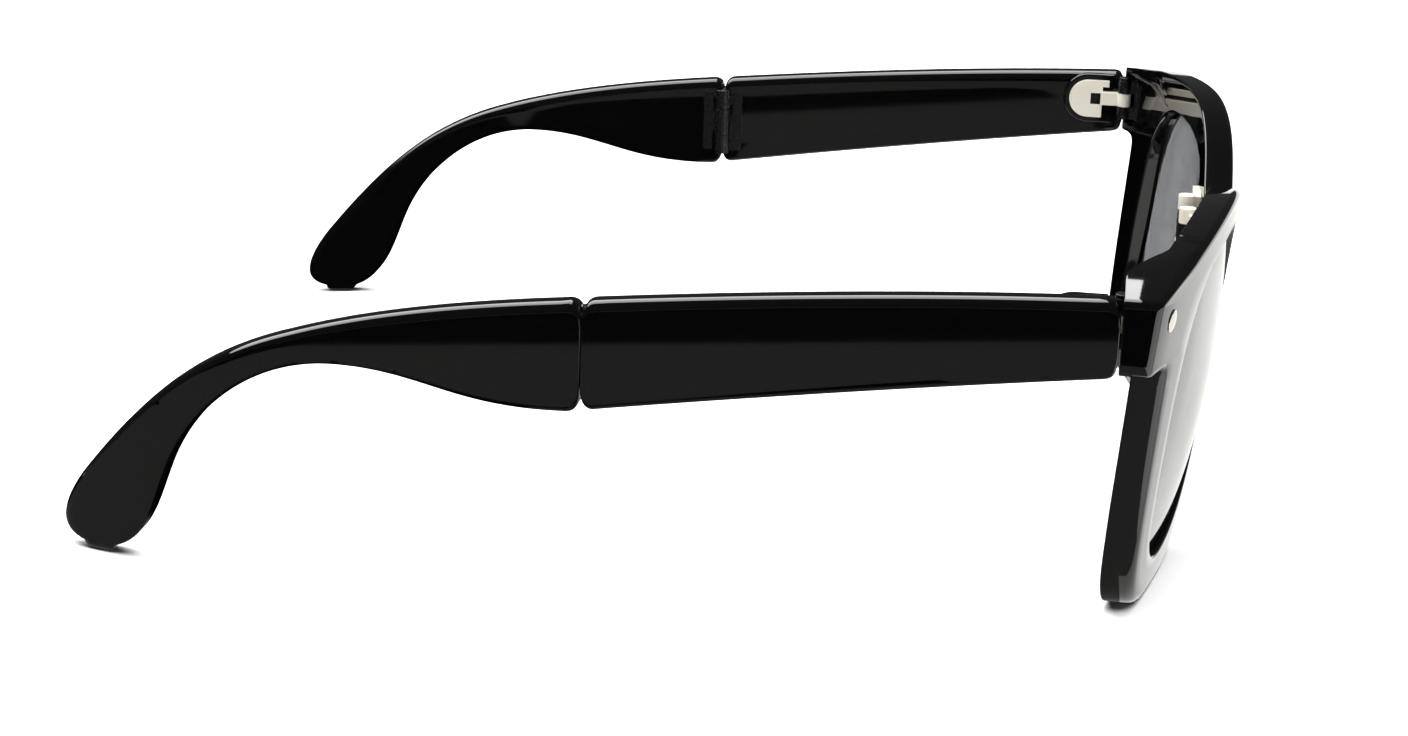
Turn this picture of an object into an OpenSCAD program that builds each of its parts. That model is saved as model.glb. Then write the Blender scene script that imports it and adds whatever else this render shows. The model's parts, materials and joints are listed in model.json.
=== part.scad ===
// Folding sunglasses with a full plastic rim, arms that fold at the hinge and again
// at mid length, and a bridge that folds on a short two-pin link.
// +Z up, the front faces -Y, the arms run along +Y, the wearer's right is -X.
// Every piece is drawn for the wearer's left (+X) and mirrored for the right.

/* [Front] */
// Overall width across the end pieces
frame_w = 145; // [141:0.5:150]
// Height of the brow's highest point above the rim's bottom
frame_h = 49.2; // [47:0.2:52]
// Radius of the front's curve, seen from above
front_r = 235; // [200:5:260]
// Lean of the front: its lower edge sits further back
front_tilt = 5.65; // [3:0.05:7]
// Thickness of the rim
rim_t = 4.3; // [3.8:0.1:5]
// Height of the bridge's top edge
bridge_top = 40.3; // [39:0.1:42]

/* [Lens] */
// Radius of the lens's front surface
lens_r = 130; // [110:5:220]
// Thickness of the lens
lens_t = 2; // [1.6:0.1:2.4]
// How far the lens stands out of the rim at its centre
lens_bulge = 0.6; // [0:0.1:1]

/* [Arms] */
// Thickness of an arm
arm_t = 4.2; // [3.8:0.1:4.6]
// Distance from the hinge axis to the fold in the arm
fold_s = 65.8; // [64:0.2:66]
// Inward turn of each open arm
toe_in = 0.8; // [0:0.1:1.2]
// How far the ear tip curls in, measured at its end
tip_curl = 5.9; // [4.5:0.1:6.5]
// How much thinner the ear tip is at its end, on each face
tip_taper = 0.6; // [0:0.1:0.8]

/* [Hinges] */
// Radius of the knuckles at the front hinges
knuckle_r = 1.1; // [1:0.05:1.2]
// Radius of the knuckles at the folds in the arms
fold_knuckle_r = 1.25; // [1.1:0.05:1.3]
// Radius of the bridge link's ends
link_r = 1.2; // [1.1:0.05:1.3]
// Half the distance between the bridge link's pins
link_half = 4; // [3.8:0.1:4.4]
// Radial play of a turning pin in its knuckle
pin_play = 0.05; // [0.02:0.01:0.08]

/* [Hidden] */
$fn = 48;

half_w = frame_w / 2;
gap = 0.15;              // half the gap between two parts that meet
origin_y = 57.8;         // the hinge plane stands this far in front of the middle of the length
tilt_z = 46;             // height at which front_y is measured
front_y = -16.4;         // foremost line of the front, at x = 0
eps = 0.1;

inner_x = 1.5;           // an arm's inner face, outboard of the hinge axis
outer_x = inner_x + arm_t;
hinge_x = half_w - outer_x;

// Heights of the hinge's knuckles: lower front, arm's tongue, upper front
knuckle_z = [37.4, 39.45, 41.65, 43.7];
knuckle_gap = 0.1;
pin_r = 0.6;

fold_x = inner_x - 0.2;  // the fold's pin, just proud of the arm's inner face
fold_z = [27.4, 30.4, 35, 38];
fold_pin_r = 0.55;

link_y = -9.2;           // the bridge link's pins, behind the bridge
link_z = [31.8, 34, 38, 40.2];
link_pin_r = 0.7;

lens_c = [36, 24];       // the middle of the lens, x and z

// ---- curves ------------------------------------------------------------

// A cubic curve from a to d pulled towards b and c, without its last point
function curve(a, b, c, d, n = 10) = [
    for (i = [0 : n - 1])
        let (t = i / n, u = 1 - t)
        u * u * u * a + 3 * u * u * t * b + 3 * u * t * t * c + t * t * t * d
];

// Outline of one half of the front, x and z
function front_outline() = concat(
    curve([gap, bridge_top], [8, bridge_top + 0.3], [16, frame_h + 0.2], [36, frame_h]),
    curve([36, frame_h], [48, frame_h - 0.1], [62, frame_h - 2.2], [half_w - 1, 44.8]),
    curve([half_w - 1, 44.8], [half_w, 44.6], [half_w, 44.2], [half_w, 43.4], 4),
    [[half_w, 43.4]],
    curve([half_w, 36.6], [half_w, 35.4], [half_w - 0.6, 35], [half_w - 1.8, 35], 4),
    [[half_w - 1.8, 35]],
    curve([66.4, 34.9], [65.3, 34.8], [65, 34.4], [64.9, 33.4], 4),
    curve([64.9, 33.4], [64.2, 26], [63.6, 15], [62.3, 8.5]),
    curve([62.3, 8.5], [61.4, 3], [58.5, 0], [54, 0]),
    [[54, 0]],
    curve([42, 0], [33, 0.6], [20, 9], [14, 17]),
    curve([14, 17], [11, 21.5], [9, 25], [8.3, 29]),
    curve([8.3, 29], [7.6, 31.6], [4, 32.8], [gap, 32.8]),
    [[gap, 32.8]]
);

// Outline of the lens and its opening, x and z
function lens_outline() = concat(
    curve([18, 42], [27, 44.4], [37, 44.4], [45, 43.4]),
    curve([45, 43.4], [51.4, 42.6], [55.4, 38], [56.4, 31]),
    curve([56.4, 31], [57.2, 25], [57.2, 17], [56.6, 12]),
    curve([56.6, 12], [55.8, 6.8], [52.4, 4.4], [47, 4.4]),
    curve([47, 4.4], [35, 4.4], [24, 10], [19, 17]),
    curve([19, 17], [15.5, 21.5], [13, 26], [12.6, 31.5]),
    curve([12.6, 31.5], [12.2, 37], [13.4, 40.4], [18, 42])
);

// Side view of the arm's front half, distance along the arm and z
arm_front_end = fold_s - gap;
arm_front_outline = concat(
    [[gap, 35.7], [gap, 43.6]],
    curve([gap + 1, 44.6], [22, 43.9], [44, 42], [arm_front_end - 1.4, 39.8]),
    [[arm_front_end - 1.4, 39.8], [arm_front_end, 38.4], [arm_front_end, 27.2]],
    curve([arm_front_end - 1.6, 25.8], [44, 29], [22, 32.2], [gap + 1, 34.7]),
    [[gap + 1, 34.7]]
);

// Side view of the arm's rear half
arm_rear_start = fold_s + gap;
tip_s = 131.5;
arm_rear_outline = concat(
    [[arm_rear_start, 26.8], [arm_rear_start, 38.3]],
    curve([arm_rear_start + 1.4, 39.5], [80, 38.2], [93, 36.2], [103.7, 32.6]),
    curve([103.7, 32.6], [115, 29], [122.5, 22.5], [tip_s - 0.5, 11.8]),
    curve([tip_s - 0.5, 11.8], [137, 5], [136, 0], [tip_s, 0]),
    [[tip_s, 0]],
    curve([128.5, 0], [125, 0], [121.6, 9], [118.8, 14.8]),
    curve([118.8, 14.8], [115.6, 21.4], [108, 29.1], [97.3, 29.1]),
    curve([97.3, 29.1], [88, 29.1], [82, 25], [72, 25]),
    [[72, 25], [arm_rear_start + 1.4, 25.3]]
);

// Plan view of the rear half: straight, then curling inward and thinning to the ear tip.
// It ends square at solid_end, so that the folded tip swings past the rim.
curl_start = 100;
curl_end = 136;
solid_end = 131.5;
function curl(s) = s < curl_start ? 0 : pow((s - curl_start) / (curl_end - curl_start), 2);
curl_steps = [for (s = [curl_start : 3.5 : solid_end]) s];
function rear_plan() = concat(
    [[outer_x, arm_rear_start]],
    [for (s = curl_steps) [outer_x - curl(s) * (tip_curl + tip_taper), s]],
    [for (i = [len(curl_steps) - 1 : -1 : 0])
        let (s = curl_steps[i]) [inner_x - curl(s) * (tip_curl - tip_taper), s]],
    [[inner_x, arm_rear_start]]
);

// ---- placing -----------------------------------------------------------

// The origin is on the floor, under the middle of the open pair
module placed(side) {
    translate([0, -origin_y, 0]) mirror([side == "right" ? 1 : 0, 0, 0]) children();
}

// The arm's own frame: y along the arm from the hinge axis, x outward
module on_arm(side) {
    placed(side) translate([hinge_x, 0, 0]) rotate([0, 0, toe_in]) children();
}

// A frame on the front's curved face at (x, z): y points into the face
module on_front(x, z) {
    turn = asin(x / front_r);
    y = front_y + front_r * (1 - cos(turn)) / cos(front_tilt) + (tilt_z - z) * tan(front_tilt);
    translate([x, y, z]) rotate([front_tilt, 0, 0]) rotate([0, 0, turn]) children();
}

// A shape in x and z, extruded through the whole front
module through_front() {
    translate([0, 15, 0]) rotate([90, 0, 0]) linear_extrude(45) children();
}

// A shape along the arm and up, extruded across it from x0 to x1
module across_arm(x0, x1) {
    translate([x0, 0, 0]) rotate([90, 0, 90]) linear_extrude(x1 - x0) children();
}

module upright(r, z0, z1) {
    translate([0, 0, z0]) cylinder(r = r, h = z1 - z0);
}

module block(from, to) {
    translate(from) cube(to - from);
}

module black() { color([0.03, 0.03, 0.032]) children(); }
module dark_metal() { color([0.12, 0.12, 0.12]) children(); }
module nickel() { color([0.82, 0.79, 0.72]) children(); }

// ---- front -------------------------------------------------------------

// The curved sheet that both halves of the front are cut from, and others like it
module sheet(outer_r, inner_r) {
    translate([0, front_y + front_r / cos(front_tilt), tilt_z]) rotate([front_tilt, 0, 0])
        difference() {
            cylinder(r = outer_r, h = 140, center = true, $fn = 96);
            cylinder(r = inner_r, h = 141, center = true, $fn = 96);
        }
}

pad_y = -6.6;            // back of the moulded nose pad
module nose_pad() {
    intersection() {
        through_front() polygon([[8.6, 27.6], [10.6, 22.4], [13.2, 18.2], [15.6, 18.8],
            [14.4, 22.6], [12.6, 27.6], [11, 29.6], [9.2, 29.6]]);
        block([7, -14, 15], [18, pad_y, 31]);
    }
}

module front_frame(side) {
    black() placed(side) difference() {
        union() {
            intersection() {
                sheet(front_r, front_r - rim_t);
                through_front() difference() {
                    polygon(front_outline());
                    polygon(lens_outline());
                }
                block([0, -30, -1], [half_w + 1, 20, 60]);
            }
            difference() {
                nose_pad();
                sheet(front_r + 20, front_r - rim_t / 2);
            }
        }
        // the end piece is cut square where the arm's end meets it
        block([64, -gap, 34.5], [half_w + 1, 5, 50]);
        hinge_pocket();
        anchor_plate();
        rivet();
        bridge_plate();
        for (z = bridge_screw_z) bridge_screw_hole(z);
    }
}

module hinge_pocket() {
    block([hinge_x - knuckle_r - 0.35, -knuckle_r - 0.35, knuckle_z[0] - 0.25],
        [hinge_x + knuckle_r + 0.35, 1, knuckle_z[3] + 0.9]);
}

module lens(side) {
    color([0.25, 0.26, 0.27, 0.6]) placed(side) intersection() {
        through_front() polygon(lens_outline());
        on_front(lens_c[0], lens_c[1]) translate([0, lens_r - lens_bulge, 0]) difference() {
            sphere(r = lens_r, $fn = 120);
            sphere(r = lens_r - lens_t, $fn = 120);
        }
        block([5, -20, 0], [65, 10, 50]);
    }
}

// ---- front hinge -------------------------------------------------------

rivet_at = [67.2, 41.3];
rivet_head_r = 1.45;
rivet_shank_r = 0.7;
plate_y = [-2.9, -1.7];  // the anchor plate moulded into the end piece

neck = 0.6;              // half the width of the necks between that plate and its knuckles
module anchor_plate() {
    block([hinge_x - 2.4, plate_y[0], 37.6], [hinge_x + 2.6, plate_y[1], 43.4]);
    for (z = [[knuckle_z[0], knuckle_z[1] - knuckle_gap], [knuckle_z[2], knuckle_z[3]]])
        block([hinge_x - neck, plate_y[1] - eps, z[0]], [hinge_x + neck, -0.5, z[1]]);
}

module front_hinge_leaf(side) {
    dark_metal() placed(side) difference() {
        union() {
            anchor_plate();
            translate([hinge_x, 0, 0]) {
                upright(knuckle_r, knuckle_z[0], knuckle_z[1] - knuckle_gap);
                upright(knuckle_r, knuckle_z[2], knuckle_z[3]);
            }
        }
        translate([hinge_x, 0, 0]) upright(pin_r, 30, 50);
    }
}

module hinge_screw(side) {
    dark_metal() placed(side) translate([hinge_x, 0, 0]) {
        upright(pin_r, knuckle_z[0], knuckle_z[3]);
        upright(1, knuckle_z[3], knuckle_z[3] + 0.5);
    }
}

module rivet() {
    on_front(rivet_at[0], rivet_at[1]) rotate([-90, 0, 0]) {
        upright(rivet_shank_r, -0.2, 2.2);
        intersection() {
            upright(rivet_head_r, -0.5, 0.2);
            translate([0, 0, 3.6]) sphere(r = 4, $fn = 64);
        }
    }
}

module front_rivet(side) {
    nickel() placed(side) rivet();
}

// ---- bridge ------------------------------------------------------------

bridge_screw_z = [34.2, 37.8];
bridge_screw_x = 10.6;
bridge_screw_r = 0.5;
bridge_screw_depth = 1.8;
leaf_y = [-11.3, -10.2];
link_eyes = [[link_z[0], link_z[1] - knuckle_gap], [link_z[2] + knuckle_gap, link_z[3]]];
link_necks = [[link_z[0] + 0.8, link_z[1] - knuckle_gap], [link_z[2] + knuckle_gap, link_z[3] - 0.6]];

module bridge_plate() {
    block([5.6, leaf_y[0], 32.6], [12.6, leaf_y[1], 39.6]);
}

module bridge_leaf(side) {
    nickel() placed(side) difference() {
        union() {
            bridge_plate();
            for (z = link_eyes) translate([link_half, link_y, 0]) upright(link_r, z[0], z[1]);
            for (z = link_necks) block([link_half, link_y - link_r, z[0]], [6.4, link_y - 0.2, z[1]]);
        }
        translate([link_half, link_y, 0]) upright(link_pin_r, 30, 45);
        for (z = bridge_screw_z) translate([bridge_screw_x, -5, z]) rotate([90, 0, 0])
            cylinder(r = bridge_screw_r, h = 9);
    }
}

module bridge_screw_hole(z) {
    translate([bridge_screw_x, leaf_y[0] - bridge_screw_depth, z]) rotate([-90, 0, 0])
        cylinder(r = bridge_screw_r, h = 3);
}

module bridge_screws(side) {
    nickel() placed(side) for (z = bridge_screw_z) translate([bridge_screw_x, leaf_y[1], z])
        rotate([90, 0, 0]) {
            cylinder(r = bridge_screw_r, h = leaf_y[1] - leaf_y[0] + bridge_screw_depth);
            translate([0, 0, -0.4]) cylinder(r = 0.95, h = 0.4);
        }
}

module bridge_link() {
    dark_metal() placed("left") difference() {
        union() {
            for (x = [-link_half, link_half]) translate([x, link_y, 0])
                upright(link_r, link_z[1], link_z[2]);
            block([-link_half, link_y - 0.8, link_z[1]], [link_half, link_y + link_r, link_z[2]]);
        }
        for (x = [-link_half, link_half]) translate([x, link_y, 0])
            upright(link_pin_r, link_z[1] - 1, link_z[2] + 1);
    }
}

module bridge_pins() {
    nickel() placed("left") for (x = [-link_half, link_half]) translate([x, link_y, 0]) {
        upright(link_pin_r, link_z[1], link_z[2]);
        upright(link_pin_r - pin_play, link_z[0] - 0.1, link_z[3] + 0.1);
    }
}

// ---- arm, front half ---------------------------------------------------

boss_c = [5.8, 40.3];    // centre of the boss and the hinge plate on the arm's inner face
boss_r = 4;
boss_x = 0.7;            // face of the boss
plate_r = 3.05;

module boss_shape(r, front) {
    intersection() {
        union() {
            translate(boss_c) circle(r = r);
            translate([front, boss_c[1] - r]) square([boss_c[0] - front, 2 * r]);
        }
        translate([front, 0]) square([20, 60]);
    }
}

module arm_front(side) {
    black() on_arm(side) difference() {
        union() {
            across_arm(inner_x, outer_x) polygon(arm_front_outline);
            across_arm(boss_x, inner_x + eps) boss_shape(boss_r, 1.6);
        }
        hinge_plate();
        tongue();
        anchor_pins();
        fold_clearance();
        fold_plate(-1);
        fold_tabs(-1, front_knuckles);
    }
}

module hinge_plate() {
    across_arm(0.3, 1.1) difference() {
        union() {
            boss_shape(plate_r, 3.5);
            translate([2.5, 42.3]) square([1.2, 1.05]);
        }
        // the square hole in the plate
        translate([3.8, boss_c[1] - 0.95]) square([1.6, 1.9]);
    }
}

module tongue() {
    block([-0.3, 0, knuckle_z[1]], [1, 3.7, knuckle_z[2] - knuckle_gap]);
}

module temple_hinge_leaf(side) {
    nickel() on_arm(side) difference() {
        union() {
            hinge_plate();
            upright(knuckle_r, knuckle_z[1], knuckle_z[2] - knuckle_gap);
            tongue();
        }
        upright(pin_r + pin_play, 30, 50);
        anchor_pins();
    }
}

// Two pins that hold the hinge plate in the arm
anchor_at = [[7.6, 41.6], [7.6, 39]];
module anchor_pins() {
    for (p = anchor_at) translate([0.3, p[0], p[1]]) rotate([0, 90, 0]) cylinder(r = 0.45, h = 3);
}

module leaf_anchor(side) {
    nickel() on_arm(side) anchor_pins();
}

// ---- fold --------------------------------------------------------------

module fold_clearance() {
    translate([fold_x, fold_s, 0]) upright(fold_knuckle_r + 0.2, fold_z[0] - 0.2, fold_z[3] + 0.2);
}

// Heights of the knuckles on the front leaf, and of the one on the rear leaf between them
front_knuckles = [[fold_z[0], fold_z[1]], [fold_z[2], fold_z[3]]];
rear_knuckles = [[fold_z[1] + knuckle_gap, fold_z[2] - knuckle_gap]];

// Measured from the fold: way is -1 towards the front half, 1 towards the rear half
module from_fold(way) {
    translate([0, fold_s, 0]) mirror([0, way < 0 ? 1 : 0, 0]) children();
}

// A fold leaf's plate, let into the arm's inner face
module fold_plate(way) {
    from_fold(way) block([inner_x, 1.6, fold_z[0] + 0.4], [inner_x + 0.9, 3.2, fold_z[3] - 0.4]);
}

// The tabs that join its knuckles to the plate
module fold_tabs(way, knuckles) {
    for (z = knuckles)
        from_fold(way) block([inner_x, 0.3, z[0] + 0.5], [inner_x + 0.8, 1.7, z[1] - 0.5]);
}

module fold_leaf(way, knuckles, bore_r) {
    difference() {
        union() {
            fold_plate(way);
            fold_tabs(way, knuckles);
            for (z = knuckles) translate([fold_x, fold_s, 0]) upright(fold_knuckle_r, z[0], z[1]);
        }
        translate([fold_x, fold_s, 0]) upright(bore_r, 20, 45);
    }
}

module fold_leaf_front(side) {
    dark_metal() on_arm(side) fold_leaf(-1, front_knuckles, fold_pin_r);
}

module fold_leaf_rear(side) {
    dark_metal() on_arm(side) fold_leaf(1, rear_knuckles, fold_pin_r + pin_play);
}

module fold_pin(side) {
    dark_metal() on_arm(side) translate([fold_x, fold_s, 0])
        upright(fold_pin_r, fold_z[0], fold_z[3]);
}

// ---- arm, rear half ----------------------------------------------------

module arm_rear(side) {
    black() on_arm(side) difference() {
        intersection() {
            across_arm(-12, 12) polygon(arm_rear_outline);
            linear_extrude(60) polygon(rear_plan());
        }
        fold_clearance();
        fold_plate(1);
        fold_tabs(1, rear_knuckles);
        core_bar();
    }
}

// The flat steel core moulded into the rear half, straight where the arm is straight
module core_bar() {
    across_arm(inner_x + 1.6, outer_x - 1.6) polygon([
        [76, 31.4], [88, 32.2], [100, 30.9], [100, 32.1], [88, 33.4], [76, 32.6]]);
}

module tip_core(side) {
    dark_metal() on_arm(side) core_bar();
}

bridge_link();
bridge_pins();
front_frame("right");  // right_front_frame
front_frame("left");  // left_front_frame
lens("right");  // right_lens
lens("left");  // left_lens
bridge_leaf("right");  // right_bridge_leaf
bridge_leaf("left");  // left_bridge_leaf
bridge_screws("right");  // right_bridge_screws
bridge_screws("left");  // left_bridge_screws
front_hinge_leaf("right");  // right_front_hinge_leaf
front_hinge_leaf("left");  // left_front_hinge_leaf
hinge_screw("right");  // right_hinge_screw
hinge_screw("left");  // left_hinge_screw
front_rivet("right");  // right_front_rivet
front_rivet("left");  // left_front_rivet
arm_front("right");  // right_arm_front
arm_front("left");  // left_arm_front
temple_hinge_leaf("right");  // right_temple_hinge_leaf
temple_hinge_leaf("left");  // left_temple_hinge_leaf
leaf_anchor("right");  // right_leaf_anchor
leaf_anchor("left");  // left_leaf_anchor
fold_leaf_front("right");  // right_fold_leaf_front
fold_leaf_front("left");  // left_fold_leaf_front
fold_leaf_rear("right");  // right_fold_leaf_rear
fold_leaf_rear("left");  // left_fold_leaf_rear
fold_pin("right");  // right_fold_pin
fold_pin("left");  // left_fold_pin
arm_rear("right");  // right_arm_rear
arm_rear("left");  // left_arm_rear
tip_core("right");  // right_tip_core
tip_core("left");  // left_tip_core
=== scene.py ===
# %% [markdown]
# # A pair of folding sunglasses
#
# This lesson builds the looks of a pair of folding sunglasses round its CAD model. The real
# object is cut from sheets of black cellulose acetate, tumbled until its edges are round and its
# faces are like glass, and put together with small nickel-plated and black-lacquered hinges. It
# folds at the bridge, at both ends of the front and in the middle of both arms.
#
# The CAD model stays where it is. Each visible piece is either modelled again over its CAD
# solid, with the rounded edges that polishing gives, or is a CAD solid with its edges broken.

import json
import math

import bpy
from mathutils import Matrix, Vector


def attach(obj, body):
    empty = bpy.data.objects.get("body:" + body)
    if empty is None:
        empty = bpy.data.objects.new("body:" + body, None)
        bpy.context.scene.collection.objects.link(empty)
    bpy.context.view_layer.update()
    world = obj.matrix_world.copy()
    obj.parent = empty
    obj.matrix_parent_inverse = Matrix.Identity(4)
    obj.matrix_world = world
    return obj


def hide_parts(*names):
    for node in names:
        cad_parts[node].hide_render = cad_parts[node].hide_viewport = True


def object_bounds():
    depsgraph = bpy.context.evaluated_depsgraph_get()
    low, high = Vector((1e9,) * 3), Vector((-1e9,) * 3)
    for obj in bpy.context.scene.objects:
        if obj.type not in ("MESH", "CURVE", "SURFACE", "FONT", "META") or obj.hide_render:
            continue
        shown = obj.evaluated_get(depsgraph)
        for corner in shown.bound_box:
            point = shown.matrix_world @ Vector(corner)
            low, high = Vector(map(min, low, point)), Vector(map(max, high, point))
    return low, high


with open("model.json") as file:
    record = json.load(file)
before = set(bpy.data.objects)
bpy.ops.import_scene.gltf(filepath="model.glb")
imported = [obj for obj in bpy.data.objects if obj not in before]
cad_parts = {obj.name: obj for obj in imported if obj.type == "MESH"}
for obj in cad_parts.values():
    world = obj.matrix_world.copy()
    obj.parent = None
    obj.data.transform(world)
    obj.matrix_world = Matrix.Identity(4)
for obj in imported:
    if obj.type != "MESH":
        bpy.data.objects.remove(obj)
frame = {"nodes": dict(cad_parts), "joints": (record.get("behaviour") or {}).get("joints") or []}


def corners(bounds):
    """A pair of corners as plain lists of numbers."""
    return [[float(value) for value in corner] for corner in bounds]


cad_box = corners(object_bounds())
MM = 0.001
SIDES = ("left", "right")
print("CAD box in mm:", [[round(value / MM, 1) for value in corner] for corner in cad_box])

# %% [markdown]
# ## Sizes
#
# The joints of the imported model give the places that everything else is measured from: the
# hinge at the end of the front and the fold in the arm. The outlines are drawn in millimetres,
# because that is what a frame maker's drawing uses, with x to the wearer's left, y back along
# the arms and z up. HINGE_Y is the plane where the arms meet the front.

# %% The places that the joints give
JOINTS = {joint["name"]: joint for joint in frame["joints"]}
hinge_at = Vector(JOINTS["left_temple_hinge"]["pos_m"]) / MM
fold_at = Vector(JOINTS["left_arm_fold"]["pos_m"]) / MM

HINGE_X = hinge_at.x
HINGE_Y = hinge_at.y
HALF_WIDTH = cad_box[1][0] / MM
HEIGHT = cad_box[1][2] / MM
ARM_THICK = 4.2
ARM_INNER = HALF_WIDTH - HINGE_X - ARM_THICK
ARM_OUTER = ARM_INNER + ARM_THICK
TOE_IN = math.radians(0.8)
GAP = 0.15
SEAM = 0.06
# The fold's pin stands 0.2 mm off the arm's inner face; FOLD is its distance along the arm
PIN_PROUD = 0.2
FOLD = math.sqrt((fold_at.xy - hinge_at.xy).length_squared - (ARM_INNER - PIN_PROUD) ** 2)
print("hinge", HINGE_X, HINGE_Y, "fold", round(FOLD, 2), "half width", HALF_WIDTH)

# The front is cut from a curved sheet that leans: its lower edge stands further back
FRONT_RADIUS = 235
FRONT_LEAN = math.radians(5.65)
FRONT_Y = HINGE_Y - 16.4
LEAN_Z = 46
RIM_THICK = 4.3


def front_y(x, z):
    """The y of the front's forward face at a place (x, z), in millimetres."""
    sag = FRONT_RADIUS - math.sqrt(FRONT_RADIUS ** 2 - x * x)
    return FRONT_Y + sag / math.cos(FRONT_LEAN) + (LEAN_Z - z) * math.tan(FRONT_LEAN)


# %% [markdown]
# ## Camera
#
# The camera stands to the wearer's right and a little in front, 430 mm off the middle, and looks
# down by 17 degrees with a slight roll. It is close enough for strong perspective: the near arm
# is drawn a quarter larger than the far one.

# %% Camera
CAMERA_PLACE = Vector((-429.8, HINGE_Y + 6.4, 143.1)) * MM
CAMERA_TURN = math.radians(-83)
CAMERA_HEIGHT = math.radians(17.05)
CAMERA_ROLL = math.radians(2.055)
IMAGE_WIDTH = 1408
FOCAL_IN_IMAGE = 3069
SENSOR = 36

backward = Vector((math.sin(CAMERA_TURN) * math.cos(CAMERA_HEIGHT),
                   -math.cos(CAMERA_TURN) * math.cos(CAMERA_HEIGHT),
                   math.sin(CAMERA_HEIGHT)))
level = Vector((0, 0, 1)).cross(backward).normalized()
upright = backward.cross(level)
camera_x = math.cos(CAMERA_ROLL) * level + math.sin(CAMERA_ROLL) * upright
camera_y = math.cos(CAMERA_ROLL) * upright - math.sin(CAMERA_ROLL) * level

bpy.ops.object.camera_add()
camera = bpy.context.object
camera.name = "camera"
camera_turn = Matrix((camera_x, camera_y, backward)).transposed().to_4x4()
camera.matrix_world = Matrix.Translation(CAMERA_PLACE) @ camera_turn
camera.data.sensor_width = SENSOR
camera.data.lens = FOCAL_IN_IMAGE / IMAGE_WIDTH * SENSOR
camera.data.clip_start = 0.01
bpy.context.scene.camera = camera
bpy.context.scene.view_settings.view_transform = "Standard"
print("camera lens", round(camera.data.lens, 1), "mm")

# %% [markdown]
# ## Studio
#
# Polished black plastic has almost no colour of its own: what one sees is the room in it. So the
# room is built first. The floor is white paper lit to full white, one large softbox hangs over
# the far side and gives the thin light line along the arms' upper edges, and everything above
# the horizon is dark. Cards that only reflections see lie on the paper and paint the reflections:
# a grey one round the object paints the paper dim grey in the polished faces, black ones on
# either side and round the arms paint dark reflections where the paper itself is white, and a
# bright one before the front paints a bright reflection in the rim's face.

# %% Materials from named parts


def material(name, **settings):
    """A new Principled material, with constants on the shader's own sockets."""
    made = bpy.data.materials.new(name)
    made.use_nodes = True
    shader = made.node_tree.nodes["Principled BSDF"]
    for socket, value in settings.items():
        label = socket.replace("_", " ")
        shader.inputs[label].default_value = (*value, 1) if isinstance(value, tuple) else value
    return made


def glow(name, colour, strength):
    """A material that shines evenly."""
    made = bpy.data.materials.new(name)
    made.use_nodes = True
    nodes = made.node_tree.nodes
    nodes.clear()
    light = nodes.new("ShaderNodeEmission")
    light.inputs["Color"].default_value = (*colour, 1)
    light.inputs["Strength"].default_value = strength
    output = nodes.new("ShaderNodeOutputMaterial")
    made.node_tree.links.new(light.outputs["Emission"], output.inputs["Surface"])
    return made


# %% Floor and cards
world = bpy.data.worlds.new("dark_room")
world.use_nodes = True
world.node_tree.nodes["Background"].inputs["Color"].default_value = (1, 1, 1, 1)
world.node_tree.nodes["Background"].inputs["Strength"].default_value = 0.06
bpy.context.scene.world = world

bpy.ops.mesh.primitive_plane_add(size=6, location=(0, 0, -0.0002))
floor = bpy.context.object
floor.name = "floor"
floor.data.materials.append(material("white_paper", Base_Color=(0.9, 0.9, 0.9), Roughness=1.0,
                                     Specular_IOR_Level=0.0))


def reflection_card(name, low, high, strength, height):
    """A flat card that only mirror-like reflections see. low and high are its corners, in metres."""
    middle = ((low[0] + high[0]) / 2, (low[1] + high[1]) / 2, height)
    bpy.ops.mesh.primitive_plane_add(size=1, location=middle)
    card = bpy.context.object
    card.name = name
    card.scale = (high[0] - low[0], high[1] - low[1], 1)
    card.data.materials.append(glow(name, (1, 1, 0.97), strength))
    card.visible_camera = False
    card.visible_diffuse = False
    card.visible_shadow = False
    card.visible_transmission = False
    return card


GREY_CARD = 0.3
FRONT_CARD = 1.3
BLACK = 0.0
# Each card lies a tenth of a millimetre above those it covers
LOW, MIDDLE, HIGH = 0.0001, 0.0002, 0.0003

# Painted reflections: these cards glow, or stay black, only for mirror-like rays; they light nothing
# and cast no shadow
reflection_card("card_grey", (-0.5, -0.078, 0), (0.062, 0.5, 0), GREY_CARD, LOW)
near_card = reflection_card("card_black", (-0.9, -1, 0), (0, 1, 0), BLACK, HIGH)
near_card.location = (-0.662, 0, HIGH)
near_card.rotation_euler.z = -math.atan(0.3)
between_card = reflection_card("card_black_between", (-0.1295, -0.05, 0), (-0.1035, 0.03, 0),
                               BLACK, MIDDLE)
between_card.rotation_euler.z = -math.atan(0.52)
reflection_card("card_black_behind", (-0.058, 0.014, 0), (0.075, 0.5, 0), BLACK, HIGH)
reflection_card("card_black_beside", (-0.12, 0.02, 0), (-0.058, 0.062, 0), BLACK, MIDDLE)
reflection_card("card_black_far", (0.075, -0.0605, 0), (1.6, 1.6, 0), BLACK, LOW)
reflection_card("card_front", (-0.066, -1.2, 0), (1.6, -0.0605, 0), FRONT_CARD, MIDDLE)


# %% Lamps


def softbox(name, place, aim, size, power):
    """A large square lamp at place that faces aim."""
    bpy.ops.object.light_add(type="AREA", location=place)
    lamp = bpy.context.object
    lamp.name = name
    lamp.data.shape = "RECTANGLE"
    lamp.data.size, lamp.data.size_y = size
    lamp.data.energy = power
    lamp.rotation_euler = (Vector(aim) - Vector(place)).to_track_quat("-Z", "Y").to_euler()
    return lamp


softbox("softbox_over", (0.5, 0.47, 0.75), (0.5, 0.47, 0), (1.1, 1.116), 24)
fill = softbox("softbox_fill", (-0.35, -0.2, 1.3), (0, 0, 0), (1.2, 1.2), 36)
fill.visible_glossy = False

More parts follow.
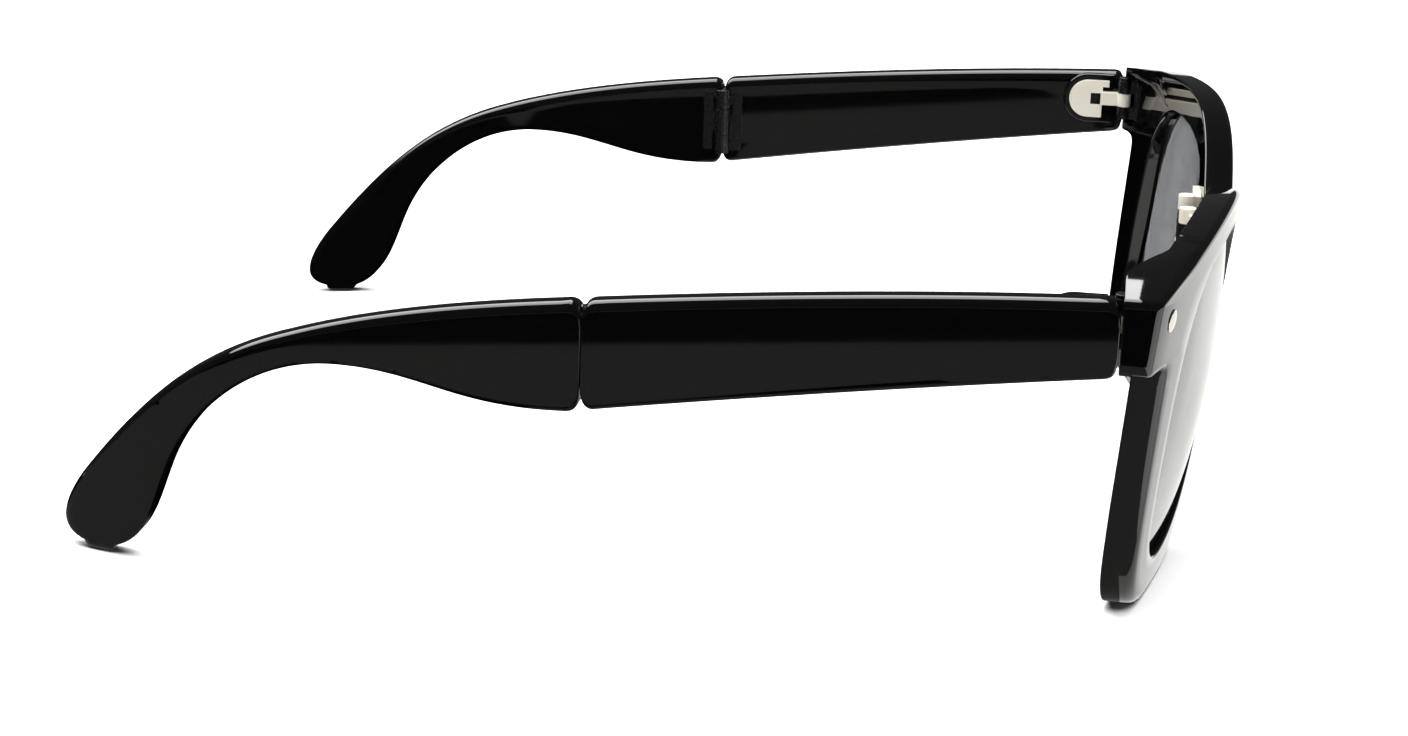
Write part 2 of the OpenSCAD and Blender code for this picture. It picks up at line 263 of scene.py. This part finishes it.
# %% [markdown]
# ## Working by hand, in code
#
# The next helpers do what a modeller does with the mouse. Every acetate piece starts as a net: a
# circle that is extruded again and again, so that its points lie in rows and columns. A rule then
# says where each row and column goes. The faces stay in tidy strips, so polished surfaces reflect
# the room without kinks, and a rounded edge is simply a few rows on a quarter circle.

# %% Selecting and finishing


def edit(piece):
    """Make piece the only selected object and enter edit mode with everything selected."""
    bpy.ops.object.select_all(action="DESELECT")
    piece.select_set(True)
    bpy.context.view_layer.objects.active = piece
    bpy.ops.object.mode_set(mode="EDIT")
    bpy.ops.mesh.select_all(action="SELECT")


def leave():
    bpy.ops.object.mode_set(mode="OBJECT")


def apply_modifier(piece, kind, **settings):
    modifier = piece.modifiers.new(kind.lower(), kind)
    for key, value in settings.items():
        setattr(modifier, key, value)
    bpy.ops.object.select_all(action="DESELECT")
    piece.select_set(True)
    bpy.context.view_layer.objects.active = piece
    bpy.ops.object.modifier_apply(modifier=modifier.name)


def smooth(piece, angle=40):
    """Shade smoothly, and let the large flat faces decide how the narrow round edges join them."""
    bpy.ops.object.select_all(action="DESELECT")
    piece.select_set(True)
    bpy.context.view_layer.objects.active = piece
    bpy.ops.object.shade_smooth_by_angle(angle=math.radians(angle))
    apply_modifier(piece, "WEIGHTED_NORMAL", mode="FACE_AREA", weight=50, keep_sharp=True)


def settle(piece, name, body, finish, replaced=()):
    """Name a finished piece, give it its finish and its body, and print how large it is."""
    piece.name = name
    piece.data.name = name
    piece.data.materials.clear()
    piece.data.materials.append(finish)
    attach(piece, body)
    if replaced:
        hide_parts(*replaced)
    size = [round(side / MM, 2) for side in piece.dimensions]
    print(f"{name}: {size} mm, {len(piece.data.polygons)} faces")
    return piece


def mirrored(piece):
    """A copy of a left piece for the right side, with its own mesh and its faces outwards."""
    bpy.ops.object.select_all(action="DESELECT")
    piece.select_set(True)
    bpy.context.view_layer.objects.active = piece
    bpy.ops.object.duplicate()
    copy = bpy.context.object
    copy.data.transform(Matrix.Scale(-1, 4, (1, 0, 0)))
    copy.data.flip_normals()
    return copy


def both_sides(piece, label, body, finish, node=None):
    """Settle a left piece and its mirrored copy. node is the CAD node that they stand for."""
    other = mirrored(piece)
    for side, made in (("left", piece), ("right", other)):
        replaced = (f"{side}_{node}",) if node else ()
        settle(made, f"{side}_{label}", f"{side}_{body}", finish, replaced)


# %% Nets


def net(rows, columns, rule, ring=False):
    """A skin whose point in a row and a column lies at rule(row, column), in millimetres.

    A ring joins its last row to its first; otherwise both ends are closed with a flat face.
    """
    bpy.ops.mesh.primitive_circle_add(vertices=columns, radius=1)
    piece = bpy.context.object
    edit(piece)
    for row in range(1, rows):
        bpy.ops.mesh.extrude_region_move(TRANSFORM_OT_translate={"value": (0, 0, 1)})
    if ring:
        bpy.ops.mesh.select_all(action="DESELECT")
        bpy.ops.mesh.select_mode(type="EDGE")
        bpy.ops.mesh.select_non_manifold()
        bpy.ops.mesh.bridge_edge_loops()
    else:
        bpy.ops.mesh.select_all(action="SELECT")
        bpy.ops.mesh.fill_holes(sides=0)
    leave()
    for vertex in piece.data.vertices:
        row = round(vertex.co.z)
        turn = math.atan2(vertex.co.x, vertex.co.y) / math.tau
        vertex.co = Vector(rule(row, round(turn * columns) % columns)) * MM
    edit(piece)
    bpy.ops.mesh.normals_make_consistent(inside=False)
    leave()
    return piece


def quarter(radius, steps=5):
    """Steps of a quarter circle: (inset from the wall, depth below the face), wall first."""
    turns = [math.radians(90 * i / steps) for i in range(steps + 1)]
    return [(radius * (1 - math.cos(t)), radius * (1 - math.sin(t))) for t in turns]


def button(outline, round_radius, low, high, place):
    """A flat-topped pad on an outline: place(a, b, height) puts it, its upper edge is rounded."""
    levels = [(0, low)] + [(inset, high - depth) for inset, depth in quarter(round_radius)]
    inward = sideways(outline, 1)

    def rule(row, column):
        inset, height = levels[row]
        a, b = outline[column]
        return place(a + inward[column][0] * inset, b + inward[column][1] * inset, height)

    return net(len(levels), len(outline), rule)


# %% Curves and outlines


def curve(a, b, c, d, steps=12):
    """Points on a cubic curve from a to d pulled towards b and c, without the last one."""
    points = []
    for i in range(steps):
        t = i / steps
        u = 1 - t
        weights = (u ** 3, 3 * u * u * t, 3 * u * t * t, t ** 3)
        points.append(tuple(sum(w * p[k] for w, p in zip(weights, (a, b, c, d))) for k in (0, 1)))
    return points


def straight(a, b, steps):
    """Points evenly from a to b, without the last one."""
    return [(a[0] + (b[0] - a[0]) * i / steps, a[1] + (b[1] - a[1]) * i / steps)
            for i in range(steps)]


def sideways(points, sign):
    """Unit vectors across a clockwise outline: sign 1 points to its inside, -1 to its outside."""
    found = []
    for i in range(len(points)):
        before = points[i - 1]
        after = points[(i + 1) % len(points)]
        length = math.dist(before, after)
        found.append((sign * (after[1] - before[1]) / length,
                      -sign * (after[0] - before[0]) / length))
    return found


def stations(points, keys, counts):
    """Points on a closed outline: counts[i] of them, evenly, from key i up to the next key."""
    loop = points + [points[0]]
    run = [0.0]
    for start, end in zip(loop, loop[1:]):
        run.append(run[-1] + math.dist(start, end))
    marks = [run[min(range(len(points)), key=lambda i: math.dist(points[i], key))] for key in keys]
    found = []
    for i, count in enumerate(counts):
        span = (marks[(i + 1) % len(marks)] - marks[i]) % run[-1]
        for j in range(count):
            distance = (marks[i] + span * j / count) % run[-1]
            k = max(k for k in range(len(points)) if run[k] <= distance)
            t = (distance - run[k]) / max(run[k + 1] - run[k], 0.001)
            found.append(tuple(loop[k][n] + t * (loop[k + 1][n] - loop[k][n]) for n in (0, 1)))
    return found


# %% [markdown]
# ## Finishes
#
# Acetate is dyed through, so its black has no depth of its own; a real frame shows very fine
# ripples left by tumbling and hair-fine scratches from handling. Both are made with noise on
# Object coordinates: the ripples feed a weak bump, and stretched noise varies the roughness.

# %% Acetate


def polish(made, ripple_scale, ripple, scratch_scale, rough_low, rough_high):
    """Give a shader faint ripples and fine scratches. Scales are in waves a metre."""
    tree = made.node_tree
    nodes, links = tree.nodes, tree.links
    shader = nodes["Principled BSDF"]
    where = nodes.new("ShaderNodeTexCoord")
    waves = nodes.new("ShaderNodeTexNoise")
    waves.inputs["Scale"].default_value = ripple_scale
    waves.inputs["Detail"].default_value = 2
    links.new(where.outputs["Object"], waves.inputs["Vector"])
    bump = nodes.new("ShaderNodeBump")
    bump.inputs["Strength"].default_value = ripple
    bump.inputs["Distance"].default_value = 0.0002
    links.new(waves.outputs["Fac"], bump.inputs["Height"])
    links.new(bump.outputs["Normal"], shader.inputs["Normal"])
    stretch = nodes.new("ShaderNodeMapping")
    stretch.inputs["Scale"].default_value = (1, 0.12, 1)
    stretch.inputs["Rotation"].default_value = (0.5, 0.2, 0.15)
    scratches = nodes.new("ShaderNodeTexNoise")
    scratches.inputs["Scale"].default_value = scratch_scale
    scratches.inputs["Detail"].default_value = 6
    links.new(where.outputs["Object"], stretch.inputs["Vector"])
    links.new(stretch.outputs["Vector"], scratches.inputs["Vector"])
    spread = nodes.new("ShaderNodeMapRange")
    spread.inputs["From Min"].default_value = 0.45
    spread.inputs["From Max"].default_value = 0.75
    spread.inputs["To Min"].default_value = rough_low
    spread.inputs["To Max"].default_value = rough_high
    links.new(scratches.outputs["Fac"], spread.inputs["Value"])
    links.new(spread.outputs["Result"], shader.inputs["Roughness"])
    return made


acetate_front = polish(material("acetate_front", Base_Color=(0.0012, 0.0012, 0.0012), IOR=1.5),
                       90, 0.004, 1400, 0.035, 0.05)
acetate_arm = polish(material("acetate_arm", Base_Color=(0.0012, 0.0012, 0.0012), IOR=1.5),
                     90, 0.004, 1400, 0.035, 0.05)

# %% [markdown]
# The hinge plates are nickel-plated brass with a warm, lightly brushed face. The fold's leaves
# and the bridge link are steel under black lacquer, which chips to bare metal only at its edges.

# %% Metals


def brush(made, direction, scale, rough_low, rough_high, depth):
    """Brushed metal: noise drawn out along one direction, in roughness and in a weak bump."""
    tree = made.node_tree
    nodes, links = tree.nodes, tree.links
    shader = nodes["Principled BSDF"]
    where = nodes.new("ShaderNodeTexCoord")
    stretch = nodes.new("ShaderNodeMapping")
    stretch.inputs["Scale"].default_value = direction
    hairs = nodes.new("ShaderNodeTexNoise")
    hairs.inputs["Scale"].default_value = scale
    hairs.inputs["Detail"].default_value = 4
    links.new(where.outputs["Object"], stretch.inputs["Vector"])
    links.new(stretch.outputs["Vector"], hairs.inputs["Vector"])
    spread = nodes.new("ShaderNodeMapRange")
    spread.inputs["To Min"].default_value = rough_low
    spread.inputs["To Max"].default_value = rough_high
    links.new(hairs.outputs["Fac"], spread.inputs["Value"])
    links.new(spread.outputs["Result"], shader.inputs["Roughness"])
    bump = nodes.new("ShaderNodeBump")
    bump.inputs["Strength"].default_value = depth
    bump.inputs["Distance"].default_value = 0.0001
    links.new(hairs.outputs["Fac"], bump.inputs["Height"])
    links.new(bump.outputs["Normal"], shader.inputs["Normal"])
    return made


nickel = brush(material("warm_nickel", Base_Color=(0.86, 0.81, 0.7), Metallic=0.4),
               (1, 0.1, 1), 3000, 0.22, 0.4, 0.08)
rivet_steel = brush(material("polished_rivet", Base_Color=(0.64, 0.61, 0.56), Metallic=1.0),
                    (1, 1, 0.4), 1500, 0.06, 0.16, 0.03)
lacquer = brush(material("black_lacquer", Base_Color=(0.004, 0.004, 0.004), IOR=1.5),
                (1, 1, 1), 1800, 0.16, 0.34, 0.12)
plain_steel = brush(material("core_steel", Base_Color=(0.55, 0.55, 0.54), Metallic=1.0),
                    (1, 0.1, 1), 2500, 0.3, 0.45, 0.1)

# %% [markdown]
# The lenses are tinted grey right through and polished. A tinted lens is glass whose colour is
# the light it lets past; a very faint waviness keeps its reflections from looking computed.

# %% Lens tint
lens_glass = polish(material("grey_lens", Base_Color=(0.12, 0.124, 0.128), IOR=1.5,
                             Transmission_Weight=1.0), 60, 0.0004, 900, 0.0, 0.02)

# %% [markdown]
# ## Front
#
# Each half of the front is one piece of acetate: a full rim, a broad end piece that the arm
# closes against, and half of the bridge. Its outline and the opening for the lens are drawn
# first. Matching places are marked on both, so that the rows between them run square across the
# rim: keys on the outline, keys on the opening, and how many columns lie before the next key.

# %% Outlines of the rim and the lens
BRIDGE_TOP = 40.3


def rim_outline():
    """Outline of one half of the front as (x, z), clockwise from the bridge's top edge."""
    w, h = HALF_WIDTH, HEIGHT
    points = curve((1.9, BRIDGE_TOP), (9, BRIDGE_TOP + 0.3), (16, h + 0.2), (36, h), 60)
    points += curve((36, h), (48, h - 0.1), (62, h - 2.2), (w - 1, 44.95), 60)
    points += curve((w - 1, 44.95), (w - 0.4, 44.85), (w, 44.5), (w, 43.8), 16)
    points += straight((w, 43.8), (w, 36.6), 8)
    points += curve((w, 36.6), (w, 35.6), (w - 0.8, 35), (w - 1.8, 35), 16)
    points += straight((w - 1.8, 35), (66.6, 34.9), 8)
    points += curve((66.6, 34.9), (65.6, 34.8), (65, 34.3), (64.9, 33.2), 16)
    points += curve((64.9, 33.2), (64.2, 26), (63.6, 15), (62.3, 8.5), 40)
    points += curve((62.3, 8.5), (61.4, 3), (58.5, 0), (54, 0), 30)
    points += straight((54, 0), (42, 0), 14)
    points += curve((42, 0), (33, 0.6), (20, 9), (14, 17), 50)
    points += curve((14, 17), (11, 21.5), (9, 25), (8.3, 29), 20)
    points += curve((8.3, 29), (7.6, 31.6), (5, 32.8), (1.9, 32.8), 20)
    points += curve((1.9, 32.8), (0.9, 32.8), (GAP, 33.5), (GAP, 34.5), 14)
    points += straight((GAP, 34.5), (GAP, 38.6), 8)
    points += curve((GAP, 38.6), (GAP, 39.6), (0.9, 40.25), (1.9, BRIDGE_TOP), 14)
    return points


def lens_outline():
    """Outline of the lens and its opening as (x, z), clockwise from the nose side of its top."""
    points = curve((18, 42), (27, 44.4), (37, 44.4), (45, 43.4), 40)
    points += curve((45, 43.4), (51.4, 42.6), (55.4, 38), (56.4, 31), 60)
    points += curve((56.4, 31), (57.2, 25), (57.2, 17), (56.6, 12), 40)
    points += curve((56.6, 12), (55.8, 6.8), (52.4, 4.4), (47, 4.4), 30)
    points += curve((47, 4.4), (35, 4.4), (24, 10), (19, 17), 60)
    points += curve((19, 17), (15.5, 21.5), (13, 26), (12.6, 31.5), 40)
    points += curve((12.6, 31.5), (12.2, 37), (13.4, 40.4), (18, 42), 40)
    return points


RIM_KEYS = [(1.9, BRIDGE_TOP), (36, HEIGHT), (HALF_WIDTH - 1, 44.95), (HALF_WIDTH, 43.8),
            (HALF_WIDTH, 36.6), (HALF_WIDTH - 1.8, 35), (66.6, 34.9), (64.9, 33.2), (62.3, 8.5),
            (54, 0), (42, 0), (14, 17), (8.3, 29), (1.9, 32.8), (GAP, 34.5), (GAP, 38.6)]
OPENING_KEYS = [(13.5, 39.7), (36, 44.2), (50.5, 41.4), (52.7, 39.5),
                (54.6, 36.8), (55.1, 35.8), (55.6, 34.4), (55.9, 33.2), (56.2, 9.8),
                (50, 4.8), (41, 5), (19, 17), (12.8, 29), (12.55, 32.6), (12.6, 34), (12.9, 37.8)]
KEY_COUNTS = [40, 36, 10, 6, 8, 5, 8, 24, 12, 12, 30, 14, 10, 7, 6, 7]

rim_points = stations(rim_outline(), RIM_KEYS, KEY_COUNTS)
opening_points = stations(lens_outline(), OPENING_KEYS, KEY_COUNTS)
COLUMNS = len(rim_points)
print("columns round the rim:", COLUMNS)

# %% [markdown]
# The rim's section is a rectangle with rounded corners: broad rounds where the polishing wheel
# reaches, in front and outside, and small ones behind and inside the opening. The sheet is then
# curved and leaned, and the end piece is cut square where the arm meets it.

# %% Halves of the front
FRONT_ROUND = 1.15
BACK_ROUND = 0.2
OPENING_ROUND = 0.45

# Where the sheet's back steps out to the arm: (where the step starts, how far it runs), in mm
WALL_ACROSS = (68.4, 1.2)
WALL_UP = (33.5, 0.5)
BROW_ACROSS = (57, 8)
BROW_UP = (44.4, 0.8)
# Where the front's round gets smaller, and by what share
CRISP_ACROSS = (60, 6)
CRISP = 0.35

outer_front = [(0, inset, 0, depth) for inset, depth in quarter(FRONT_ROUND)]
inner_front = [(1, 0, inset, depth) for inset, depth in reversed(quarter(OPENING_ROUND))]
inner_back = [(1, 0, inset, RIM_THICK - depth) for inset, depth in quarter(OPENING_ROUND)]
outer_back = [(0, inset, 0, RIM_THICK - depth) for inset, depth in reversed(quarter(BACK_ROUND))]
front_face = [(share, FRONT_ROUND, OPENING_ROUND, 0) for share in (0.3, 0.7)]
back_face = [(share, BACK_ROUND, OPENING_ROUND, RIM_THICK) for share in (0.7, 0.4, 0.22, 0.08)]
rim_rows = outer_front + front_face + inner_front + inner_back + back_face + outer_back

into_rim = sideways(rim_points, 1)
out_of_opening = sideways(opening_points, -1)


def rise(value, start, over):
    """0 below start, 1 beyond start + over, and evenly between."""
    return min(max((value - start) / over, 0), 1)


def rim_rule(row, column):
    """Where a point of the rim lies: a share of the way from its outer edge to the opening."""
    share, outer_inset, inner_inset, depth = rim_rows[row]
    crisp = 1 - CRISP * rise(rim_points[column][0], *CRISP_ACROSS)
    outer_inset *= crisp
    if share == 0 and depth <= FRONT_ROUND:
        depth *= crisp
    outer = [rim_points[column][k] + into_rim[column][k] * outer_inset for k in (0, 1)]
    inner = [opening_points[column][k] + out_of_opening[column][k] * inner_inset for k in (0, 1)]
    x = outer[0] + share * (inner[0] - outer[0])
    z = outer[1] + share * (inner[1] - outer[1])
    forward = front_y(x, z)
    wall = rise(x, *WALL_ACROSS) * rise(z, *WALL_UP)
    brow = rise(x, *BROW_ACROSS) * rise(z, *BROW_UP)
    thick = RIM_THICK + max(wall, brow) * (HINGE_Y - SEAM - forward - RIM_THICK)
    return (x, forward + depth * thick / RIM_THICK, z)


rim = net(len(rim_rows), COLUMNS, rim_rule, ring=True)
smooth(rim)
both_sides(rim, "rim", "front", acetate_front, "front_frame")

# %% [markdown]
# The nose pads are moulded in one with the rim: small swellings behind the nose's edge.

# %% Nose pads
PAD_BACK = HINGE_Y - 6.6
PAD_DEPTH = 5.5
PAD_ROUND = 1.2
pad_outline = curve((9.2, 29.6), (10.4, 30.2), (11.8, 28.9), (12.6, 27.6), 8)
pad_outline += curve((12.6, 27.6), (13.6, 26), (14, 24), (14.4, 22.6), 8)
pad_outline += curve((14.4, 22.6), (14.9, 21.2), (15.8, 19.6), (15.3, 18.6), 6)
pad_outline += curve((15.3, 18.6), (14.6, 17.6), (13.2, 18), (12.6, 19), 6)
pad_outline += curve((12.6, 19), (11, 21.5), (9.4, 25), (8.8, 27.6), 12)
pad_outline += curve((8.8, 27.6), (8.5, 28.5), (8.6, 29.3), (9.2, 29.6), 4)


def pad_place(x, z, y):
    return (x, y, z)


pad = button(pad_outline, PAD_ROUND, PAD_BACK - PAD_DEPTH, PAD_BACK, pad_place)
smooth(pad)
both_sides(pad, "nose_pad", "front", acetate_front)

# %% [markdown]
# ## Lens
#
# The lens is a thin shell of a sphere, edged to the outline of its opening with a fine bevel on
# both faces. Its rows are smaller and smaller copies of that outline, from the middle of the
# front face over the edge to the middle of the back. It is a hair larger than the opening,
# because the real one sits in a groove.

# %% Lenses
LENS_RADIUS = 130
LENS_THICK = 2.0
LENS_PROUD = 0.6
LENS_MIDDLE = (36, 24)
GROOVE = 1.006
LENS_BEVEL = 0.012
LENS_BEVEL_DEPTH = 0.25

lens_shares = [0.02, 0.1, 0.2, 0.3, 0.4, 0.5, 0.6, 0.7, 0.8, 0.9, 0.96, 1 - LENS_BEVEL]
lens_rows = [(share, 0) for share in lens_shares]
lens_rows += [(1, LENS_BEVEL_DEPTH), (1, LENS_THICK - LENS_BEVEL_DEPTH)]
lens_rows += [(share, LENS_THICK) for share in reversed(lens_shares)]


def lens_y(x, z):
    """The forward face of the lens: a sphere that leans and turns as the rim does."""
    across = math.asin(LENS_MIDDLE[0] / FRONT_RADIUS)
    middle_y = front_y(*LENS_MIDDLE) - LENS_PROUD
    dx = x - LENS_MIDDLE[0]
    dz = z - LENS_MIDDLE[1]
    slope = dx * math.tan(across) - dz * math.tan(FRONT_LEAN)
    spread = (dx / math.cos(across)) ** 2 + dz * dz
    return middle_y + slope + LENS_RADIUS - math.sqrt(LENS_RADIUS ** 2 - spread)


def lens_rule(row, column):
    share, depth = lens_rows[row]
    x = LENS_MIDDLE[0] + (opening_points[column][0] - LENS_MIDDLE[0]) * GROOVE * share
    z = LENS_MIDDLE[1] + (opening_points[column][1] - LENS_MIDDLE[1]) * GROOVE * share
    return (x, lens_y(x, z) + depth, z)


lens = net(len(lens_rows), COLUMNS, lens_rule)
smooth(lens, 25)
both_sides(lens, "tinted_lens", "front", lens_glass, "lens")

# %% [markdown]
# ## Arms
#
# Each half of an arm is a bar between an upper and a lower line, drawn in side view as (distance
# along the arm, height). Its section is a rounded rectangle; the upper edges are rounded more
# than the lower ones. The rear half swells, narrows and drops into the ear tip, which curls in
# towards the head and thins towards its end.

# %% Arm lines
END_ROUND = 0.12
TIP_ROUND = 0.9


def front_half_lines():
    """The upper and lower line of the arm's front half, from the hinge to the fold."""
    start = SEAM + END_ROUND
    end = FOLD - SEAM - END_ROUND
    upper = curve((start, 42.9), (start, 43.9), (start + 0.5, 44.6), (start + 1.4, 44.6), 6)
    upper += curve((start + 1.4, 44.6), (22, 43.9), (44, 42), (end - 1.4, 39.8), 36)
    upper += curve((end - 1.4, 39.8), (end - 0.5, 39.7), (end, 39.1), (end, 38.3), 6)
    lower = curve((start, 36.2), (start, 35.3), (start + 0.5, 34.8), (start + 1.4, 34.7), 6)
    lower += curve((start + 1.4, 34.7), (22, 32.2), (44, 29), (end - 1.4, 25.8), 36)
    lower += curve((end - 1.4, 25.8), (end - 0.6, 25.8), (end, 26.5), (end, 27.4), 6)
    return upper + [(end, 38.3)], lower + [(end, 27.4)]


def rear_half_lines():
    """The upper and lower line of the rear half, from the fold to the ear tip."""
    start = FOLD + SEAM + END_ROUND
    upper = curve((start, 38), (start, 38.9), (start + 0.5, 39.4), (start + 1.4, 39.5), 6)
    upper += curve((start + 1.4, 39.5), (80, 38.2), (93, 36.2), (103.7, 32.6), 34)
    upper += curve((103.7, 32.6), (115, 29), (122.5, 22.5), (131, 11.8), 40)
    upper += curve((131, 11.8), (134.8, 7.2), (137.4, 1.8), (132.4, TIP_ROUND), 20)
    lower = curve((start, 27), (start, 26), (start + 0.5, 25.4), (start + 1.4, 25.3), 6)
    lower += curve((start + 1.4, 25.3), (82, 24.6), (86, 29.1), (97.3, 29.1), 34)
    lower += curve((97.3, 29.1), (108, 29.1), (115.6, 21.4), (118.8, 14.8), 40)
    lower += curve((118.8, 14.8), (121.4, 9.4), (122, 2.6), (127.6, TIP_ROUND), 20)
    return upper + [(132.4, TIP_ROUND)], lower + [(127.6, TIP_ROUND)]


# %% Bars
CURL_START = 100
CURL_END = 136
TIP_CURL = 5.9
TIP_TAPER = 0.6
TOP_ROUND = 1.3
BOTTOM_ROUND = 0.7
CORNER_POINTS = 6
FACE_POINTS = 5
LEAF_PROUD = 0.03
SECTION_POINTS = 4 * CORNER_POINTS + 2 * (FACE_POINTS - 1)
SECTION_CORNERS = [(0, 0, BOTTOM_ROUND, 180), (1, 0, BOTTOM_ROUND, 270),
                   (1, 1, TOP_ROUND, 0), (0, 1, TOP_ROUND, 90)]


def section(height, inset):
    """A rounded rectangle as (across the arm, up its section), drawn in by inset all round."""
    points = []
    for outer, top, radius, first_turn in SECTION_CORNERS:
        reach = max(radius, inset + 0.05)
        x = ARM_OUTER - reach if outer else ARM_INNER + LEAF_PROUD + reach
        z = height - reach if top else reach
        for i in range(CORNER_POINTS):
            turn = math.radians(first_turn + 90 * i / (CORNER_POINTS - 1))
            points.append((x + (reach - inset) * math.cos(turn),
                           z + (reach - inset) * math.sin(turn)))
    outer_face = straight(points[2 * CORNER_POINTS - 1], points[2 * CORNER_POINTS], FACE_POINTS)
    inner_face = straight(points[-1], points[0], FACE_POINTS)
    return (points[:2 * CORNER_POINTS] + outer_face[1:]
            + points[2 * CORNER_POINTS:] + inner_face[1:])


def curled(x, along, up):
    """Bend the ear tip in towards the head and thin it towards its end."""
    amount = (max(along - CURL_START, 0) / (CURL_END - CURL_START)) ** 2
    across = (x - ARM_INNER) / ARM_THICK
    return (x - amount * (TIP_CURL - TIP_TAPER + 2 * TIP_TAPER * across), along, up)


def on_arm(x, along, up):
    """From the arm's own frame to the open pair: turned in about the hinge."""
    return (HINGE_X + x * math.cos(TOE_IN) - along * math.sin(TOE_IN),
            HINGE_Y + x * math.sin(TOE_IN) + along * math.cos(TOE_IN), up)


def arm_bar(upper, lower, start_round, end_round):
    """A bar between two lines, with its ends rounded over by start_round and end_round."""
    rings = [(0, inset, start_round - depth) for inset, depth in reversed(quarter(start_round, 3))]
    rings = [(station, inset, -push) for station, inset, push in rings]
    rings += [(station, 0, 0) for station in range(1, len(upper) - 1)]
    last = len(upper) - 1
    rings += [(last, inset, end_round - depth) for inset, depth in quarter(end_round, 3)]

    def rule(row, column):
        station, inset, push = rings[row]
        foot = Vector(lower[station])
        up = Vector(upper[station]) - foot
        height = up.length
        up.normalize()
        onward = Vector((up.y, -up.x))
        x, rise = section(height, inset)[column]
        spot = foot + up * rise + onward * push
        return on_arm(*curled(x, spot.x, spot.y))

    piece = net(len(rings), SECTION_POINTS, rule)
    smooth(piece)
    return piece


front_bar = arm_bar(*front_half_lines(), END_ROUND, END_ROUND)
both_sides(front_bar, "arm_bar", "arm", acetate_arm, "arm_front")
rear_bar = arm_bar(*rear_half_lines(), END_ROUND, TIP_ROUND)
both_sides(rear_bar, "ear_bar", "ear_tip", acetate_arm, "arm_rear")

# %% [markdown]
# A round boss stands on the inner face of each arm, and carries the hinge plate. Its front side
# is cut off straight.

# %% Bosses
BOSS_MIDDLE = (5.8, 40.3)
BOSS_RADIUS = 4.0
BOSS_FACE = 0.7
BOSS_FRONT = 1.8
BOSS_ROUND = 0.35
BOSS_ROOT = 0.3

arc = [math.radians(90 - 180 * i / 24) for i in range(25)]
boss_outline = straight((BOSS_FRONT, BOSS_MIDDLE[1] + BOSS_RADIUS),
                        (BOSS_MIDDLE[0], BOSS_MIDDLE[1] + BOSS_RADIUS), 5)
boss_outline += [(BOSS_MIDDLE[0] + BOSS_RADIUS * math.cos(t),
                  BOSS_MIDDLE[1] + BOSS_RADIUS * math.sin(t)) for t in arc]
boss_outline += straight((BOSS_MIDDLE[0] - 0.5, BOSS_MIDDLE[1] - BOSS_RADIUS),
                         (BOSS_FRONT, BOSS_MIDDLE[1] - BOSS_RADIUS), 5)
boss_outline += straight((BOSS_FRONT, BOSS_MIDDLE[1] - BOSS_RADIUS),
                         (BOSS_FRONT, BOSS_MIDDLE[1] + BOSS_RADIUS), 5)


def boss_place(along, up, height):
    """Heights are measured towards the head, so they run against x."""
    return on_arm(-height, along, up)


boss = button(boss_outline, BOSS_ROUND, -ARM_INNER - BOSS_ROOT, -BOSS_FACE, boss_place)
smooth(boss)
both_sides(boss, "arm_boss", "arm", acetate_arm)

# %% [markdown]
# ## Small hardware
#
# Hinge leaves are stamped and milled, then tumbled, so no edge on them is truly sharp. Their CAD
# solids already have the right shape, with bores and pins in place. Each is copied, its loose
# triangles are joined into whole faces, and a small bevel breaks every edge.

# %% Hinge leaves, links and pins


def tumbled(node, name, body, finish, width):
    """A CAD node's copy with its edges broken by a small round."""
    source = frame["nodes"][node]
    piece = bpy.data.objects.new(name, source.data.copy())
    bpy.context.scene.collection.objects.link(piece)
    edit(piece)
    bpy.ops.mesh.remove_doubles(threshold=0.000001)
    bpy.ops.mesh.dissolve_limited(angle_limit=math.radians(1))
    bpy.ops.mesh.select_all(action="SELECT")
    bpy.ops.mesh.normals_make_consistent(inside=False)
    leave()
    apply_modifier(piece, "BEVEL", width=width * MM, segments=3, limit_method="ANGLE",
                   angle_limit=math.radians(32), use_clamp_overlap=True, miter_outer="MITER_ARC")
    smooth(piece, 35)
    return settle(piece, name, body, finish, (node,))


HARDWARE = [
    ("bridge_leaf", "bridge_hinge_leaf", "front", "hinge_metal", nickel, 0.12),
    ("front_hinge_leaf", "front_knuckles", "front", "dark_metal", lacquer, 0.1),
    ("temple_hinge_leaf", "arm_hinge_plate", "arm", "hinge_metal", nickel, 0.12),
    ("leaf_anchor", "hinge_plate_pins", "arm", "hinge_metal", nickel, 0.05),
    ("fold_leaf_front", "fold_knuckles_front", "arm", "dark_metal", lacquer, 0.1),
    ("fold_pin", "fold_hinge_pin", "arm", "dark_metal", lacquer, 0.08),
    ("fold_leaf_rear", "fold_knuckle_rear", "ear_tip", "dark_metal", lacquer, 0.1),
    ("tip_core", "ear_tip_core", "ear_tip", "core_steel", plain_steel, 0.1),
    ("bridge_screws", "bridge_leaf_screws", "front", "hinge_metal", nickel, 0.1),
    ("hinge_screw", "arm_hinge_screw", "front", "dark_metal", lacquer, 0.1),
    ("front_rivet", "end_piece_rivet", "front", "rivet_metal", rivet_steel, 0.05),
]
for side in SIDES:
    for node, label, body, slot, finish, width in HARDWARE:
        tumbled(f"{side}_{node}", f"{side}_{label}", f"{side}_{body}", finish, width)
tumbled("bridge_link", "bridge_link_bar", "bridge", lacquer, 0.15)
tumbled("bridge_pins", "bridge_hinge_pins", "bridge", nickel, 0.08)
